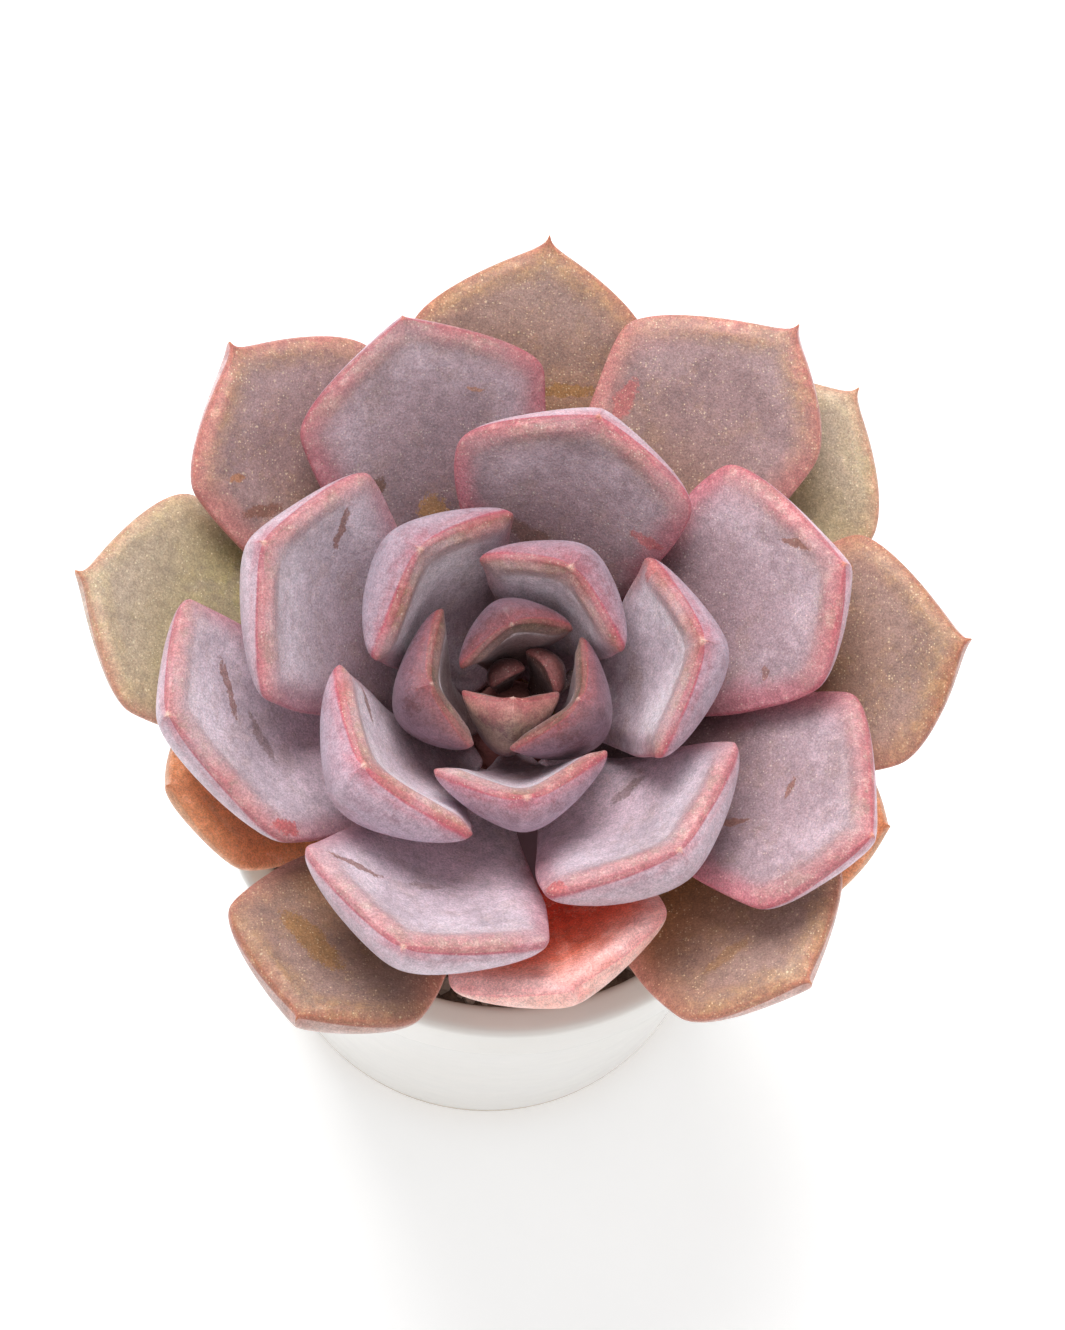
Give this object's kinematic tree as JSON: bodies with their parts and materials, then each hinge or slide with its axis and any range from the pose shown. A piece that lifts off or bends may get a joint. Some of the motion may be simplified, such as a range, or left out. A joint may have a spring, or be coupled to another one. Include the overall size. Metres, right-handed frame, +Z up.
{
  "type": "potted succulent",
  "caption": "Rosette succulent with thick pointed leaves spiralling from a short stem, growing in a plain round tapered pot of soil.",
  "frame": {"origin": "centre of the pot's flat foot, on the surface it stands on", "axes": "+Z up along the pot and the stem; -Y is the side the plant is seen from"},
  "size_m": [0.0998, 0.0925, 0.098],
  "materials": {
    "glaze": "satin white glaze on fired clay",
    "earth": "crumbly dark potting soil",
    "bark": "dry brown stem",
    "young_leaf": "lilac leaf skin with a waxy bloom and rose margins",
    "old_leaf": "brown-mauve leaf skin with a thin waxy bloom and orange margins"
  },
  "bodies": {
    "root": {"pot": "glaze", "soil": "earth", "stem": "bark", "leaf_01": "young_leaf", "leaf_02": "young_leaf", "leaf_03": "young_leaf", "leaf_04": "young_leaf", "leaf_05": "young_leaf", "leaf_06": "young_leaf", "leaf_07": "young_leaf", "leaf_08": "young_leaf", "leaf_09": "young_leaf", "leaf_10": "young_leaf", "leaf_11": "young_leaf", "leaf_12": "young_leaf", "leaf_13": "young_leaf", "leaf_14": "young_leaf", "leaf_15": "young_leaf", "leaf_16": "young_leaf", "leaf_17": "young_leaf", "leaf_18": "young_leaf", "leaf_19": "young_leaf", "leaf_20": "young_leaf", "leaf_21": "young_leaf", "leaf_22": "old_leaf", "leaf_23": "old_leaf", "leaf_24": "old_leaf", "leaf_25": "old_leaf", "leaf_26": "old_leaf", "leaf_27": "old_leaf", "leaf_28": "old_leaf", "leaf_29": "old_leaf", "leaf_30": "old_leaf", "leaf_31": "old_leaf", "leaf_32": "old_leaf"}
  },
  "joints": []
}
